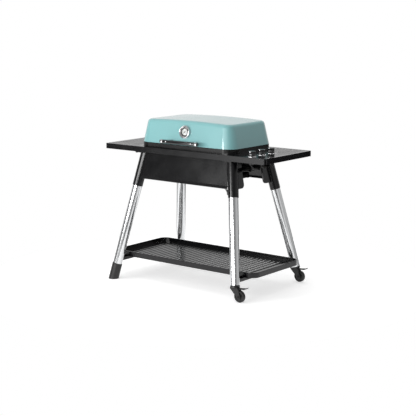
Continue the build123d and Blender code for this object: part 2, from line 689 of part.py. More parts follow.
def make_caster_wheel(depth):
    """One-piece wheel with a crowned tread, recessed sides and a hub."""
    y = depth * CASTER_Y
    half = WHEEL_WIDTH / 2
    with BuildPart() as wheel:
        with BuildSketch(Plane.XY):
            with BuildLine():
                Polyline(
                    (AXLE_RADIUS + RUNNING_CLEARANCE, -half - 0.8),
                    (10, -half - 0.8),
                    (12, -half + 5),
                    (26, -half + 5),
                    (29, -half),
                    (WHEEL_RADIUS - 3, -half),
                    (WHEEL_RADIUS, -half + 3.5),
                    (WHEEL_RADIUS, half - 3.5),
                    (WHEEL_RADIUS - 3, half),
                    (29, half),
                    (26, half - 5),
                    (12, half - 5),
                    (10, half + 0.8),
                    (AXLE_RADIUS + RUNNING_CLEARANCE, half + 0.8),
                    close=True,
                )
            make_face()
        revolve(axis=Axis.Y)
    wheel.part = wheel.part.moved(Location((CASTER_X + CASTER_TRAIL, y, WHEEL_RADIUS)))
    return wheel


def make_caster_axle(depth):
    """Plain axle with a round head outside each cheek."""
    y = depth * CASTER_Y
    outer = CHEEK_INNER + CHEEK_THICKNESS
    axle = (CASTER_X + CASTER_TRAIL, WHEEL_RADIUS)
    with BuildPart() as pin:
        with BuildSketch(xz_plane(y)):
            with Locations(axle):
                Circle(AXLE_RADIUS)
        extrude(amount=outer + 3, both=True)
        for end in (FRONT, REAR):
            with BuildSketch(xz_plane(y + end * outer)):
                with Locations(axle):
                    Circle(7)
            extrude(amount=-end * 3)
    return pin


def make_brake_lever(depth):
    """Foot lever over the wheel, with an upturned tip and its own cross pin."""
    y = depth * CASTER_Y
    pivot_x, pivot_z = LEVER_PIVOT
    with BuildPart() as lever:
        with BuildSketch(xz_plane(y)):
            with BuildLine():
                Polyline(
                    (pivot_x - 5, pivot_z + 5),
                    (pivot_x + 30, pivot_z + 7),
                    (pivot_x + 48, pivot_z + 7.5),
                    (pivot_x + 58, pivot_z + 10),
                    (pivot_x + 66, pivot_z + 15.5),
                    (pivot_x + 69, pivot_z + 13),
                    (pivot_x + 60, pivot_z + 5.5),
                    (pivot_x + 49, pivot_z + 2.5),
                    (pivot_x + 24, pivot_z + 1),
                    (pivot_x + 6, pivot_z - 4),
                    (pivot_x - 4, pivot_z - 4),
                    close=True,
                )
            make_face()
        extrude(amount=9, both=True)
        # wide tread plate beyond the hood
        with BuildSketch(xz_plane(y)):
            with BuildLine():
                Polyline(
                    (pivot_x + 31, pivot_z + 7),
                    (pivot_x + 48, pivot_z + 7.5),
                    (pivot_x + 58, pivot_z + 10),
                    (pivot_x + 66, pivot_z + 15.5),
                    (pivot_x + 69, pivot_z + 13),
                    (pivot_x + 60, pivot_z + 5.5),
                    (pivot_x + 49, pivot_z + 2.5),
                    (pivot_x + 31, pivot_z + 1.5),
                    close=True,
                )
            make_face()
        extrude(amount=15, both=True)
        with BuildSketch(xz_plane(y)):
            with Locations(LEVER_PIVOT):
                Circle(LEVER_PIN_RADIUS)
        extrude(amount=CHEEK_INNER + CHEEK_THICKNESS, both=True)
    return lever


for depth in (FRONT, REAR):
    save(make_caster_plug(depth), f"caster_plug_{DEPTH_NAMES[depth]}")
    save(make_caster_fork(depth), f"caster_fork_{DEPTH_NAMES[depth]}")
    save(make_caster_wheel(depth), f"caster_wheel_{DEPTH_NAMES[depth]}")
    save(make_caster_axle(depth), f"caster_axle_{DEPTH_NAMES[depth]}")
    save(make_brake_lever(depth), f"brake_lever_{DEPTH_NAMES[depth]}")


# --- Knobs, valves and gas pipes ---------------------------------------------------------------

for knob_name, knob_y in KNOB_YS.items():
    with BuildPart() as valve_stem:
        with BuildSketch(Plane.XY.offset(VALVE_BOTTOM + 9)):
            with Locations((KNOB_X, knob_y)):
                Circle(VALVE_STEM_RADIUS - RUNNING_CLEARANCE)
        extrude(amount=KNOB_BOTTOM + 18 - VALVE_BOTTOM - 9)
    save(valve_stem, f"valve_stem_{knob_name}")

    with BuildPart() as knob:
        with BuildSketch(Plane.XY.offset(KNOB_BOTTOM)):
            with Locations((KNOB_X, knob_y)):
                Circle(KNOB_RADIUS)
        extrude(amount=KNOB_TOP - KNOB_BOTTOM, taper=2)
        fillet(knob.faces().sort_by(Axis.Z)[-1].edges(), 2.0)
        with BuildSketch(Plane.XY.offset(KNOB_BOTTOM)):
            with Locations((KNOB_X, knob_y)):
                Circle(KNOB_RADIUS - 3)
        extrude(amount=16, mode=Mode.SUBTRACT)
        with BuildSketch(Plane.XY.offset(KNOB_BOTTOM)):
            with Locations((KNOB_X, knob_y)):
                Circle(8)
        extrude(amount=17)
        with BuildSketch(Plane.XY.offset(KNOB_BOTTOM)):
            with Locations((KNOB_X, knob_y)):
                Circle(VALVE_STEM_RADIUS)
        extrude(amount=19, mode=Mode.SUBTRACT)
    save(knob, f"knob_{knob_name}")

with BuildPart() as knob_bezels:
    with BuildSketch(Plane.XY.offset(TABLE_TOP)):
        with Locations(*[(KNOB_X, y) for y in KNOB_YS.values()]):
            Circle(BEZEL_RADIUS)
            Circle(KNOB_RADIUS + 1, mode=Mode.SUBTRACT)
    extrude(amount=BEZEL_HEIGHT)
    chamfer(knob_bezels.edges().group_by(Axis.Z)[-1], 1.2)
save(knob_bezels, "knob_bezels")

with BuildPart() as gas_valves:
    with BuildSketch(Plane.XY.offset(VALVE_BOTTOM)):
        with Locations(*[(KNOB_X, y) for y in KNOB_YS.values()]):
            RectangleRounded(VALVE_SIZE, VALVE_SIZE, 4)
    extrude(amount=VALVE_TOP - VALVE_BOTTOM)
    with BuildSketch(Plane.XY.offset(VALVE_TOP)):
        with Locations(*[(KNOB_X, y) for y in KNOB_YS.values()]):
            Circle(9)
    extrude(amount=TABLE_TOP - SIDE_TABLE_WALL - VALVE_TOP)
    with BuildSketch(Plane.XY.offset(VALVE_BOTTOM + 4)):
        with Locations(*[(KNOB_X, y) for y in KNOB_YS.values()]):
            Circle(VALVE_STEM_RADIUS)
    extrude(amount=TABLE_TOP - VALVE_BOTTOM, mode=Mode.SUBTRACT)
save(gas_valves, "gas_valves")

with BuildPart() as manifold_pipe:
    with BuildSketch(xz_plane(KNOB_YS["front"] - 20)):
        with Locations((KNOB_X, MANIFOLD_Z)):
            Circle(MANIFOLD_RADIUS)
    extrude(amount=-(KNOB_YS["rear"] - KNOB_YS["front"] + 75))
save(manifold_pipe, "manifold_pipe")

INLET_Y = KNOB_YS["rear"] + 55
with BuildPart() as gas_inlet:
    with BuildSketch(xz_plane(INLET_Y)):
        with Locations((KNOB_X, MANIFOLD_Z)):
            RegularPolygon(12, 6)
    extrude(amount=-16)
    with BuildSketch(xz_plane(INLET_Y + 16)):
        with Locations((KNOB_X, MANIFOLD_Z)):
            Circle(5.5)
    extrude(amount=-28)
    for barb in range(3):
        with BuildSketch(xz_plane(INLET_Y + 24 + barb * 7)):
            with Locations((KNOB_X, MANIFOLD_Z)):
                Circle(7)
        extrude(amount=-5, taper=14)
    with BuildSketch(xz_plane(INLET_Y)):
        with Locations((KNOB_X, MANIFOLD_Z)):
            Circle(3)
    extrude(amount=-44, mode=Mode.SUBTRACT)
save(gas_inlet, "gas_inlet")

PIPE_RADIUS = 4.0
PIPE_BEND = 12.0
with BuildPart() as feed_pipes:
    for name in KNOB_YS:
        valve_side = Vector(KNOB_X - VALVE_SIZE / 2, KNOB_YS[name], VALVE_BOTTOM + 8)
        burner_mouth = Vector(VENTURI_END_X + 1, BURNER_YS[name], BURNER_Z)
        with BuildLine() as route:
            FilletPolyline(
                valve_side,
                (valve_side.X - 30, valve_side.Y, valve_side.Z),
                (burner_mouth.X + 34, burner_mouth.Y, burner_mouth.Z),
                burner_mouth,
                radius=PIPE_BEND,
            )
        with BuildSketch(Plane(origin=valve_side, z_dir=(-1, 0, 0))):
            Circle(PIPE_RADIUS)
        sweep(path=route.line)
save(feed_pipes, "feed_pipes")


# --- Drip tray and its carrier -----------------------------------------------------------------

with BuildPart() as drip_tray:
    with BuildSketch(Plane.XY.offset(TRAY_BOTTOM)):
        RectangleRounded(2 * TRAY_HALF_LENGTH, 2 * TRAY_HALF_DEPTH, 14)
    extrude(amount=TRAY_TOP - TRAY_BOTTOM)
    with BuildSketch(Plane.XY.offset(TRAY_BOTTOM + TRAY_WALL)):
        RectangleRounded(2 * (TRAY_HALF_LENGTH - TRAY_WALL), 2 * (TRAY_HALF_DEPTH - TRAY_WALL), 12.5)
    extrude(amount=TRAY_TOP - TRAY_BOTTOM, mode=Mode.SUBTRACT)
    # pull handle on the right end
    with BuildSketch(Plane.XY.offset(TRAY_TOP)):
        with Locations((TRAY_HALF_LENGTH + 9, 0)):
            Rectangle(20, 90)
    extrude(amount=-2)
    with BuildSketch(Plane.XY.offset(TRAY_TOP)):
        with Locations((TRAY_HALF_LENGTH + 18, 0)):
            Rectangle(2, 90)
    extrude(amount=-14)
save(drip_tray, "drip_tray")

CARRIER_INNER_Y = TRAY_HALF_DEPTH + 1.5
with BuildPart() as tray_carrier:
    for depth in (FRONT, REAR):
        with BuildSketch(Plane.YZ.offset(-TRAY_HALF_LENGTH)):
            with BuildLine():
                Polyline(
                    (depth * (CARRIER_INNER_Y - 12), TRAY_BOTTOM - 2.5),
                    (depth * (CARRIER_INNER_Y + 2), TRAY_BOTTOM - 2.5),
                    (depth * (CARRIER_INNER_Y + 2), CARRIER_TOP),
                    (depth * CARRIER_INNER_Y, CARRIER_TOP),
                    (depth * CARRIER_INNER_Y, TRAY_BOTTOM - 0.5),
                    (depth * (CARRIER_INNER_Y - 12), TRAY_BOTTOM - 0.5),
                    close=True,
                )
            make_face()
        extrude(amount=2 * TRAY_HALF_LENGTH)
    with BuildSketch(Plane.XY.offset(CARRIER_TOP)):
        with GridLocations(480, 0, 2, 1):
            Rectangle(40, 2 * CARRIER_INNER_Y + 1)
    extrude(amount=-2)
    # back stop at the left end
    with BuildSketch(Plane.YZ.offset(-TRAY_HALF_LENGTH - 2.5)):
        with Locations((0, TRAY_BOTTOM + 12)):
            Rectangle(2 * CARRIER_INNER_Y + 4, 29)
    extrude(amount=2)
    with BuildSketch(Plane.YZ.offset(-TRAY_HALF_LENGTH - 2.5)):
        with Locations((-CARRIER_INNER_Y - 1, TRAY_BOTTOM + 12), (CARRIER_INNER_Y + 1, TRAY_BOTTOM + 12)):
            Rectangle(2, 29)
    extrude(amount=4)
save(tray_carrier, "tray_carrier")


# --- Hood ------------------------------------------------------------------------------------------

def make_hood_block(inset):
    """Tapered rounded block with a crowned top and a soft top edge."""
    crown_radius = (RING_HALF_LENGTH ** 2 + LID_CROWN ** 2) / (2 * LID_CROWN)
    top_z = LID_EDGE_TOP + LID_CROWN - inset
    rise = LID_EDGE_TOP - LID_BOTTOM + 30
    lean = rise * math.tan(math.radians(LID_TAPER))
    with BuildPart(mode=Mode.PRIVATE) as block:
        with BuildSketch(Plane.XY.offset(LID_BOTTOM)):
            rounded(RING_HALF_LENGTH, RING_HALF_DEPTH, RING_CORNER, inset)
        with BuildSketch(Plane.XY.offset(LID_BOTTOM + rise)):
            rounded(
                RING_HALF_LENGTH - rise * math.tan(math.radians(LID_END_TAPER)),
                RING_HALF_DEPTH - lean,
                RING_CORNER - lean,
                inset,
            )
        loft()
        with BuildSketch(xz_plane(0)):
            with Locations((0, top_z - crown_radius)):
                Circle(crown_radius)
        extrude(amount=2 * RING_HALF_DEPTH, both=True, mode=Mode.INTERSECT)
        top_face = block.faces().sort_by(Axis.Z)[-1]
        fillet(top_face.edges(), LID_EDGE_RADIUS - inset)
    return block.part


with BuildPart() as lid_shell:
    add(make_hood_block(0))
    add(make_hood_block(LID_WALL), mode=Mode.SUBTRACT)
    # hole for the thermometer stem
    with BuildSketch(xz_plane(-RING_HALF_DEPTH)):
        with Locations((0, GAUGE_HEIGHT)):
            Circle(GAUGE_STEM_RADIUS + 1)
    extrude(amount=-60, mode=Mode.SUBTRACT)
save(lid_shell, "lid_shell")

with BuildPart() as handle_bar:
    with BuildSketch(Plane.YZ.offset(-HANDLE_HALF_LENGTH)):
        with Locations((HANDLE_Y, HANDLE_Z)):
            Circle(HANDLE_RADIUS)
    extrude(amount=2 * HANDLE_HALF_LENGTH)
    chamfer(handle_bar.edges().group_by(Axis.X)[0], 1.5)
    chamfer(handle_bar.edges().group_by(Axis.X)[-1], 1.5)
save(handle_bar, "handle_bar")

with BuildPart() as handle_posts:
    wall_y = -lid_wall_y(HANDLE_Z)
    for side in (LEFT, RIGHT):
        with BuildSketch(xz_plane(HANDLE_Y + HANDLE_RADIUS - 1.5)):
            with Locations((side * HANDLE_POST_X, HANDLE_Z)):
                Circle(HANDLE_POST_RADIUS)
        extrude(amount=HANDLE_Y + HANDLE_RADIUS - wall_y - 5)
    add(handle_bar.part, mode=Mode.SUBTRACT)
    add(make_hood_block(0), mode=Mode.SUBTRACT)
save(handle_posts, "handle_posts")


# --- Thermometer in the hood's front face ------------------------------------------------------

# the gauge's own frame: its local Z points out of the sloping face, its local Y up the slope
GAUGE_PLANE = Plane(
    origin=(0, -lid_wall_y(GAUGE_HEIGHT), GAUGE_HEIGHT),
    x_dir=(1, 0, 0),
    z_dir=(0, -math.cos(math.radians(LID_TAPER)), math.sin(math.radians(LID_TAPER))),
)
DIAL_DEPTH = 4.0

with BuildPart() as thermometer_case:
    with BuildSketch(GAUGE_PLANE.offset(0.2)):
        Circle(GAUGE_RADIUS)
    extrude(amount=GAUGE_DEPTH, taper=8)
    front_edge = thermometer_case.edges().filter_by(GeomType.CIRCLE).sort_by(Axis.Y)[0]
    fillet(front_edge, 2.0)
    # funnel-shaped recess down to the dial
    with BuildSketch(GAUGE_PLANE.offset(0.2 + DIAL_DEPTH)):
        Circle(DIAL_RADIUS + 1)
    with BuildSketch(GAUGE_PLANE.offset(0.2 + DIAL_DEPTH + 5)):
        Circle(DIAL_RADIUS + 2)
    loft(mode=Mode.SUBTRACT)
    with BuildSketch(GAUGE_PLANE.offset(0.2 + DIAL_DEPTH + 5)):
        Circle(DIAL_RADIUS + 3)
    with BuildSketch(GAUGE_PLANE.offset(0.2 + GAUGE_DEPTH)):
        Circle(GAUGE_RADIUS - 9)
    loft(mode=Mode.SUBTRACT)
    # stem through the hood with its nut inside
    with BuildSketch(GAUGE_PLANE.offset(0.2)):
        Circle(GAUGE_STEM_RADIUS)
    extrude(amount=-38)
    with BuildSketch(GAUGE_PLANE.offset(-LID_WALL - 0.3)):
        RegularPolygon(11, 6)
    extrude(amount=-5)
    with BuildSketch(GAUGE_PLANE.offset(0.2 + DIAL_DEPTH)):
        Circle(1.05)
    extrude(amount=-3, mode=Mode.SUBTRACT)
save(thermometer_case, "thermometer_case")

with BuildPart() as thermometer_dial:
    with BuildSketch(GAUGE_PLANE.offset(0.2 + DIAL_DEPTH)):
        Circle(DIAL_RADIUS)
        Circle(1.05, mode=Mode.SUBTRACT)
    extrude(amount=0.8)
save(thermometer_dial, "thermometer_dial")

with BuildPart() as thermometer_needle:
    with BuildSketch(GAUGE_PLANE.offset(0.2 + DIAL_DEPTH - 2)):
        Circle(1.0)
    extrude(amount=4.0)
    with BuildSketch(GAUGE_PLANE.offset(0.2 + DIAL_DEPTH + 1.2)):
        Circle(3)
        with BuildLine():
            Polyline((-12.2, -13.4), (-13.4, -12.2), (-1.6, 1.6), (1.6, -1.6), close=True)
        make_face()
    extrude(amount=0.7)
save(thermometer_needle, "thermometer_needle")

with BuildPart() as thermometer_glass:
    with BuildSketch(GAUGE_PLANE.offset(0.2 + DIAL_DEPTH + 3)):
        Circle(DIAL_RADIUS + 1.4)
    extrude(amount=1.5)
save(thermometer_glass, "thermometer_glass")


# --- Hood hinge ------------------------------------------------------------------------------------

KNUCKLE_CLEARANCE = 0.5
ARM_WIDTH = 16.0
EAR_WIDTH = 4.0

with BuildPart() as hinge_brackets:
    ear_offset = ARM_WIDTH / 2 + KNUCKLE_CLEARANCE
    for side in (LEFT, RIGHT):
        start = side * HINGE_X - ear_offset - EAR_WIDTH
        with BuildSketch(Plane.YZ.offset(start)):
            with Locations((HINGE_Y, HINGE_Z)):
                Circle(HINGE_KNUCKLE_RADIUS)
            with BuildLine():
                Polyline(
                    (RING_HALF_DEPTH, 906),
                    (HINGE_Y, HINGE_Z - HINGE_KNUCKLE_RADIUS),
                    (HINGE_Y, HINGE_Z),
                    (RING_HALF_DEPTH, HINGE_Z + 4),
                    close=True,
                )
            make_face()
        extrude(amount=2 * (ear_offset + EAR_WIDTH))
        with BuildSketch(Plane.YZ.offset(start + EAR_WIDTH)):
            with Locations((HINGE_Y + 17, HINGE_Z)):
                Rectangle(2 * (17 + HINGE_KNUCKLE_RADIUS + 1.5), 60)
        extrude(amount=2 * ear_offset, mode=Mode.SUBTRACT)
        with BuildSketch(Plane.YZ.offset(start)):
            with Locations((HINGE_Y, HINGE_Z)):
                Circle(HINGE_PIN_RADIUS + 0.02)
        extrude(amount=2 * (ear_offset + EAR_WIDTH), mode=Mode.SUBTRACT)
save(hinge_brackets, "hinge_brackets")

with BuildPart() as hinge_pins:
    pin_half = ARM_WIDTH / 2 + KNUCKLE_CLEARANCE + EAR_WIDTH + 2
    for side in (LEFT, RIGHT):
        with BuildSketch(Plane.YZ.offset(side * HINGE_X - pin_half)):
            with Locations((HINGE_Y, HINGE_Z)):
                Circle(HINGE_PIN_RADIUS)
        extrude(amount=2 * pin_half)
        with BuildSketch(Plane.YZ.offset(side * HINGE_X - side * pin_half)):
            with Locations((HINGE_Y, HINGE_Z)):
                Circle(6.5)
        extrude(amount=side * 2)
save(hinge_pins, "hinge_pins")

with BuildPart() as lid_hinge_arms:
    for side in (LEFT, RIGHT):
        with BuildSketch(Plane.YZ.offset(side * HINGE_X - ARM_WIDTH / 2)):
            with Locations((HINGE_Y, HINGE_Z)):
                Circle(HINGE_KNUCKLE_RADIUS)
            with BuildLine():
                Polyline(
                    (HINGE_Y - 7.6, HINGE_Z + 2),
                    (RING_HALF_DEPTH - 1.4, LID_BOTTOM + 3),
                    (lid_wall_y(985) - 1, 985),
                    (lid_wall_y(985) + 4, 985),
                    (lid_wall_y(958) + 5, 958),
                    (HINGE_Y + 7.6, HINGE_Z + 3),
                    close=True,
                )
            make_face()
            with Locations((HINGE_Y, HINGE_Z)):
                Circle(HINGE_PIN_RADIUS + RUNNING_CLEARANCE, mode=Mode.SUBTRACT)
        extrude(amount=ARM_WIDTH)
    add(make_hood_block(0), mode=Mode.SUBTRACT)
save(lid_hinge_arms, "lid_hinge_arms")


# --- Bolts ---------------------------------------------------------------------------------------------

with BuildPart() as assembly_bolts:
    # shelf to crossbars, dome heads on the shelf floor
    with BuildSketch(Plane.XY.offset(SHELF_FLOOR_TOP)):
        with GridLocations(2 * leg_x(SHELF_BOTTOM), 2 * (SHELF_HALF_DEPTH - 18), 2, 2):
            Circle(6)
    extrude(amount=3.5)
    # head plates to the rails, hexagon heads below the plates
    for side in (LEFT, RIGHT):
        for depth in (FRONT, REAR):
            with BuildSketch(Plane.XY.offset(RAIL_BOTTOM - HEAD_PLATE_THICKNESS)):
                with Locations(
                    (side * (leg_x(RAIL_BOTTOM) + 34), depth * (leg_y(RAIL_BOTTOM) + 60)),
                    (side * (leg_x(RAIL_BOTTOM) - 18), depth * (leg_y(RAIL_BOTTOM) + 62)),
                ):
                    RegularPolygon(5.5, 6)
            extrude(amount=-4)
save(assembly_bolts, "assembly_bolts")
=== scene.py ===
"""Looks of a three-burner gas barbecue with a mint hood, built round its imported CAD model."""

import json
import math

import bmesh
import bpy
from mathutils import Matrix, Vector


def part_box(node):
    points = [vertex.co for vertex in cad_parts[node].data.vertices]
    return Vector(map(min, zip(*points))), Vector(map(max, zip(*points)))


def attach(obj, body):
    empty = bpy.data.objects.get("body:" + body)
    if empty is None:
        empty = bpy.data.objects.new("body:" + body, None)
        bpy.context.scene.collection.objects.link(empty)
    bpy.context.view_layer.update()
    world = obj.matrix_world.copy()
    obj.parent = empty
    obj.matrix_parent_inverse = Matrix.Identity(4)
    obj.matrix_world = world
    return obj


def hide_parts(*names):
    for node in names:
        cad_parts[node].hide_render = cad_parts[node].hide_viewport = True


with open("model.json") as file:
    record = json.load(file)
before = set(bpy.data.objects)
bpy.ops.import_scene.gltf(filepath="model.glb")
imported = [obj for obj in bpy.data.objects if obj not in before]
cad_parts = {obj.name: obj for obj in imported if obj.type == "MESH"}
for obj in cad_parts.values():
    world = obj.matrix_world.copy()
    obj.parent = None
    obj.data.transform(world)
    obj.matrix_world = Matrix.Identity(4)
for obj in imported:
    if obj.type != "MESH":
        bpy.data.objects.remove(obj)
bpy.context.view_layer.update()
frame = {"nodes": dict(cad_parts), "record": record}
NODES = frame["nodes"]
SLOT_OF = {row["node"]: row["material_slot"] for row in frame["record"]["subparts"]}
MM = 0.001


# --- Materials -----------------------------------------------------------------------

def surface(
    name,
    colour,
    roughness,
    metallic=0.0,
    coat=0.0,
    coat_roughness=0.04,
    specular=0.5,
    mottle=(6.0, 0.12),
    patches=(9.0, 0.06),
    grain=(900.0, 0.12, 0.0002),
    stretch=(1.0, 1.0, 1.0),
    turn=(0.0, 0.0, 0.0),
    inner=None,
):
    """Principled material with colour mottling, roughness patches and a fine bump.

    mottle is (scale, share of the colour), patches (scale, change of roughness) and
    grain (scale, strength, height in metres). stretch and turn shape the texture space.
    inner is a second colour for faces whose own normal points down: the inside of the hood.
    """
    material = bpy.data.materials.new(name)
    material.use_nodes = True
    nodes = material.node_tree.nodes
    links = material.node_tree.links
    shader = nodes["Principled BSDF"]
    shader.inputs["Metallic"].default_value = metallic
    shader.inputs["Coat Weight"].default_value = coat
    shader.inputs["Coat Roughness"].default_value = coat_roughness
    shader.inputs["Specular IOR Level"].default_value = specular

    place = nodes.new("ShaderNodeTexCoord")
    mapping = nodes.new("ShaderNodeMapping")
    mapping.vector_type = "TEXTURE"
    mapping.inputs["Rotation"].default_value = turn
    mapping.inputs["Scale"].default_value = stretch
    links.new(place.outputs["Object"], mapping.inputs["Vector"])

    def noise(scale, detail):
        texture = nodes.new("ShaderNodeTexNoise")
        texture.inputs["Scale"].default_value = scale
        texture.inputs["Detail"].default_value = detail
        links.new(mapping.outputs["Vector"], texture.inputs["Vector"])
        return texture.outputs["Fac"]

    def mixed(dark, light, factor):
        mix = nodes.new("ShaderNodeMix")
        mix.data_type = "RGBA"
        mix.inputs[6].default_value = (*dark, 1.0)
        mix.inputs[7].default_value = (*light, 1.0)
        links.new(factor, mix.inputs[0])
        return mix

    scale, share = mottle
    dark = [c * (1 - share) for c in colour]
    light = [min(1.0, c * (1 + share)) for c in colour]
    tint = mixed(dark, light, noise(scale, 4.0))
    out = tint.outputs[2]
    if inner is not None:
        split = nodes.new("ShaderNodeSeparateXYZ")
        links.new(place.outputs["Normal"], split.inputs[0])
        below = nodes.new("ShaderNodeMath")
        below.operation = "LESS_THAN"
        below.inputs[1].default_value = -0.05
        links.new(split.outputs["Z"], below.inputs[0])
        choose = mixed(colour, inner, below.outputs[0])
        links.new(out, choose.inputs[6])
        out = choose.outputs[2]
    links.new(out, shader.inputs["Base Color"])

    scale, change = patches
    spread = nodes.new("ShaderNodeMapRange")
    spread.inputs["From Min"].default_value = 0.3
    spread.inputs["From Max"].default_value = 0.7
    spread.inputs["To Min"].default_value = max(0.02, roughness - change)
    spread.inputs["To Max"].default_value = min(1.0, roughness + change)
    links.new(noise(scale, 3.0), spread.inputs["Value"])
    links.new(spread.outputs["Result"], shader.inputs["Roughness"])

    scale, strength, height = grain
    bump = nodes.new("ShaderNodeBump")
    bump.inputs["Strength"].default_value = strength
    bump.inputs["Distance"].default_value = height
    links.new(noise(scale, 2.0), bump.inputs["Height"])
    links.new(bump.outputs["Normal"], shader.inputs["Normal"])
    return material


def brushed_along(name, direction):
    """Satin aluminium whose brush lines run along direction."""
    axis = Vector(direction).normalized()
    turn = Vector((0, 0, 1)).rotation_difference(axis).to_euler()
    return surface(
        name,
        (0.78, 0.79, 0.80),
        0.17,
        metallic=1.0,
        mottle=(500.0, 0.10),
        patches=(350.0, 0.04),
        grain=(900.0, 0.10, 0.0001),
        stretch=(1.0, 1.0, 90.0),
        turn=turn,
    )


def clear_glass(name):
    """Thin clear cover with faint smears."""
    material = surface(name, (0.95, 0.97, 0.97), 0.05, patches=(40.0, 0.04), grain=(60.0, 0.02, 0.0001))
    shader = material.node_tree.nodes["Principled BSDF"]
    shader.inputs["Transmission Weight"].default_value = 1.0
    shader.inputs["IOR"].default_value = 1.05
    return material


FINISHES = {
    "mint_enamel": surface(
        "mint_enamel", (0.20, 0.44, 0.45), 0.4, coat=1.0, coat_roughness=0.05,
        mottle=(4.0, 0.03), patches=(7.0, 0.05), grain=(90.0, 0.02, 0.0002), inner=(0.02, 0.02, 0.02),
    ),
    "table_plastic": surface(
        "table_plastic", (0.005, 0.005, 0.006), 0.17, mottle=(30.0, 0.2), patches=(14.0, 0.05),
        grain=(1400.0, 0.02, 0.0001),
    ),
    "black_metal": surface(
        "black_metal", (0.002, 0.002, 0.0025), 0.20, specular=0.42, mottle=(25.0, 0.2), patches=(11.0, 0.04),
        grain=(1100.0, 0.03, 0.0001),
    ),
    "cast_black": surface(
        "cast_black", (0.002, 0.002, 0.002), 0.24, specular=0.42, mottle=(40.0, 0.25), patches=(20.0, 0.05),
        grain=(700.0, 0.06, 0.0001),
    ),
    "cooking_iron": surface(
        "cooking_iron", (0.012, 0.011, 0.011), 0.5, mottle=(60.0, 0.3), patches=(40.0, 0.12),
        grain=(500.0, 0.3, 0.0003),
    ),
    # Burner steel is far darker than real steel: painted shade for the burners that sit in the dark under the
    # hood and table.
    "burner_steel": surface(
        "burner_steel", (0.03, 0.029, 0.028), 0.45, metallic=1.0, mottle=(18.0, 0.3), patches=(25.0, 0.12),
        grain=(400.0, 0.1, 0.0001),
    ),
    "black_plastic": surface(
        "black_plastic", (0.006, 0.006, 0.006), 0.36, mottle=(50.0, 0.2), patches=(20.0, 0.06),
        grain=(1500.0, 0.06, 0.0001),
    ),
    "gloss_black": surface(
        "gloss_black", (0.005, 0.005, 0.006), 0.18, coat=0.5, mottle=(50.0, 0.2), patches=(25.0, 0.04),
        grain=(900.0, 0.02, 0.0001),
    ),
    "trim_chrome": surface(
        "trim_chrome", (0.70, 0.70, 0.71), 0.22, metallic=1.0, mottle=(40.0, 0.04), patches=(60.0, 0.04),
        grain=(700.0, 0.02, 0.0001),
    ),
    # gas_brass and gas_pipe are far darker than real brass and steel: painted shade for the gas train that
    # sits in the dark under the table.
    "gas_brass": surface(
        "gas_brass", (0.035, 0.026, 0.012), 0.45, metallic=1.0, mottle=(70.0, 0.25), patches=(60.0, 0.1),
        grain=(500.0, 0.1, 0.0001),
    ),
    "gas_pipe": surface(
        "gas_pipe", (0.006, 0.006, 0.006), 0.5, metallic=0.3, mottle=(60.0, 0.25), patches=(60.0, 0.1),
        grain=(500.0, 0.1, 0.0001),
    ),
    "dial_white": surface(
        "dial_white", (0.80, 0.80, 0.78), 0.45, mottle=(90.0, 0.04), patches=(60.0, 0.05),
        grain=(900.0, 0.05, 0.0001),
    ),
    "needle_paint": surface(
        "needle_paint", (0.02, 0.02, 0.02), 0.35, mottle=(300.0, 0.2), patches=(200.0, 0.05),
        grain=(900.0, 0.05, 0.0001),
    ),
    "gauge_glass": clear_glass("gauge_glass"),
}

TUBE_WIDTH = 62 * MM  # outer diameter of a leg tube, taken off its box to get its lean
for depth_name, depth in (("front", -1), ("rear", 1)):
    for side_name, side in (("left", -1), ("right", 1)):
        tube_name = f"leg_tube_{depth_name}_{side_name}"
        tube = NODES[tube_name]
        tube_low, tube_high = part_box(tube_name)
        reach = [high - low for low, high in zip(tube_low, tube_high)]
        lean = (side * (reach[0] - TUBE_WIDTH), depth * (reach[1] - TUBE_WIDTH), -reach[2])
        tube.data.materials.clear()
        tube.data.materials.append(brushed_along(f"brushed_{depth_name}_{side_name}", lean))


# --- CAD nodes -----------------------------------------------------------------------

for node_name, node in NODES.items():
    if not node_name.startswith("leg_tube"):
        node.data.materials.clear()
        node.data.materials.append(FINISHES[SLOT_OF[node_name]])


# --- Helpers for new pieces ------------------------------------------------------------

def new_piece(name, build, body, slot, replaced=(), sharp=32.0):
    """Turns a bmesh into a piece that rides on body and takes its finish from slot."""
    bmesh.ops.recalc_face_normals(build, faces=build.faces)
    mesh = bpy.data.meshes.new(name)
    build.to_mesh(mesh)
    build.free()
    mesh.polygons.foreach_set("use_smooth", [True] * len(mesh.polygons))
    mesh.set_sharp_from_angle(angle=math.radians(sharp))
    piece = bpy.data.objects.new(name, mesh)
    bpy.context.scene.collection.objects.link(piece)
    mesh.materials.append(FINISHES[slot])
    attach(piece, body)
    if replaced:
        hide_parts(*replaced)
    return piece


def axis_frame(origin, axis):
    """Matrix whose Z is axis; heights of a lathed profile run along it."""
    turn = Vector((0, 0, 1)).rotation_difference(Vector(axis)).to_matrix().to_4x4()
    return Matrix.Translation(origin) @ turn


def lathe(build, profile, place, segments=72, ripple=None):
    """Adds a turned solid. profile is (radius, height) in mm from one pole to the other.

    ripple(angle, radius, height) gives a factor for the radius, for flutes and treads.
    """
    rings = []
    for radius, height in profile:
        if radius == 0:
            rings.append([build.verts.new(place @ Vector((0, 0, height * MM)))])
            continue
        ring = []
        for i in range(segments):
            angle = 2 * math.pi * i / segments
            r = radius * MM * (ripple(angle, radius, height) if ripple else 1.0)
            point = Vector((r * math.cos(angle), r * math.sin(angle), height * MM))
            ring.append(build.verts.new(place @ point))
        rings.append(ring)
    for low_ring, high_ring in zip(rings, rings[1:]):
        for i in range(segments):
            j = (i + 1) % segments
            corners = []
            for vert in (low_ring[i % len(low_ring)], low_ring[j % len(low_ring)],
                         high_ring[j % len(high_ring)], high_ring[i % len(high_ring)]):
                if vert not in corners:
                    corners.append(vert)
            if len(corners) > 2:
                build.faces.new(corners)


